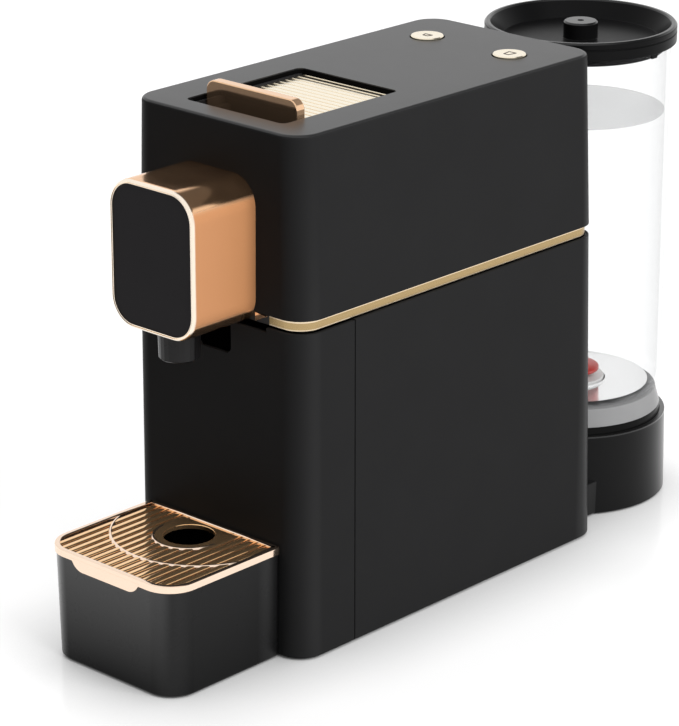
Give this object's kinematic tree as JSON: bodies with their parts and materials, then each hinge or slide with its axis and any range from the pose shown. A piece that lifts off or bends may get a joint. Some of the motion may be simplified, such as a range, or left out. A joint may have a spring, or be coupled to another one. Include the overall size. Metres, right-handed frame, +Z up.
{
  "type": "capsule espresso machine",
  "caption": "Slim table-top capsule espresso machine: sliding capsule cover, brew head over a drip tray, pull-out capsule drawer and lift-off water tank behind.",
  "frame": {"origin": "centre of the footprint box, on the table that the feet stand on", "axes": "+Z up, front (brew head and drip tray) towards -Y, tank towards +Y, +X to the right of a person facing the front"},
  "size_m": [0.11, 0.3802, 0.2573],
  "materials": {
    "black_plastic": "fine matte black",
    "inner_plastic": "dark moulded plastic",
    "copper_chrome": "rose-gold mirror plating",
    "gold_trim": "satin gold",
    "gloss_black": "semi-gloss black",
    "clear_plastic": "clear",
    "grey_plastic": "smoke grey",
    "white_plastic": "white",
    "red_plastic": "red",
    "rubber": "matte",
    "steel": "plain",
    "cast_aluminium": "cast",
    "board_green": "lacquered board"
  },
  "bodies": {
    "machine": {"upper_housing": "black_plastic", "trim_band": "gold_trim", "mid_deck": "inner_plastic", "lower_shell": "black_plastic", "base_plate": "inner_plastic", "rubber_feet": "rubber", "base_screws": "steel", "deck_screws": "steel", "deck_ties": "steel", "head_sleeve": "copper_chrome", "head_face": "black_plastic", "outlet_duct": "inner_plastic", "spout_nozzle": "black_plastic", "brew_frame": "inner_plastic", "piercing_plate": "steel", "cover_rails": "inner_plastic", "control_board": "board_green", "button_switches": "inner_plastic", "board_screws": "steel", "thermoblock": "cast_aluminium", "pressure_hose": "rubber", "pump": "inner_plastic", "pump_mounts": "rubber", "pump_bracket": "steel", "suction_hose": "rubber", "tank_seat": "black_plastic", "coupling_seal": "rubber", "coupling_pin": "steel", "cord_gland": "black_plastic"},
    "cover": {"slide_cover": "copper_chrome", "cover_handle": "copper_chrome", "cup_carriage": "inner_plastic", "brew_cup": "cast_aluminium", "brew_hose": "rubber"},
    "left_button": {"button_left": "copper_chrome", "button_spring_left": "steel"},
    "right_button": {"button_right": "copper_chrome", "button_spring_right": "steel"},
    "capsule_drawer": {"drawer_front": "black_plastic", "capsule_bin": "inner_plastic"},
    "tray": {"drip_tray": "black_plastic"},
    "grid": {"drip_grid": "copper_chrome"},
    "tank": {"tank_shell": "clear_plastic", "tank_cup": "grey_plastic", "valve_seat": "white_plastic"},
    "lid": {"tank_lid": "gloss_black", "lid_gasket": "rubber"},
    "tank_valve": {"valve_poppet": "red_plastic", "valve_spring": "steel"}
  },
  "joints": [
    {"name": "cover_slide", "type": "slide", "parent": "machine", "child": "cover", "axis": [0, 1, 0], "range_m": [0, 0.048], "deforming": ["brew_hose"]},
    {"name": "left_press", "type": "slide", "parent": "machine", "child": "left_button", "axis": [0, 0, -1], "range_m": [0, 0.0015], "stiffness_N_per_m": 600, "springref_m": -0.001, "deforming": ["button_spring_left"]},
    {"name": "right_press", "type": "slide", "parent": "machine", "child": "right_button", "axis": [0, 0, -1], "range_m": [0, 0.0015], "stiffness_N_per_m": 600, "springref_m": -0.001, "deforming": ["button_spring_right"]},
    {"name": "drawer_slide", "type": "slide", "parent": "machine", "child": "capsule_drawer", "axis": [0, -1, 0], "range_m": [0, 0.1]},
    {"name": "tray_pull", "type": "slide", "parent": "capsule_drawer", "child": "tray", "axis": [0, -1, 0], "range_m": [0, 0.06]},
    {"name": "grid_lift", "type": "slide", "parent": "tray", "child": "grid", "axis": [0, 0, 1], "range_m": [0, 0.06]},
    {"name": "tank_lift", "type": "slide", "parent": "machine", "child": "tank", "axis": [0, 0, 1], "range_m": [0, 0.1]},
    {"name": "lid_lift", "type": "slide", "parent": "tank", "child": "lid", "axis": [0, 0, 1], "range_m": [0, 0.05]},
    {"name": "valve_close", "type": "slide", "parent": "tank", "child": "tank_valve", "axis": [0, 0, 1], "range_m": [-0.003, 0], "deforming": ["valve_spring"]}
  ],
  "couplings": [
    {"joint": "valve_close", "follows": "tank_lift", "ratio": -0.03}
  ]
}
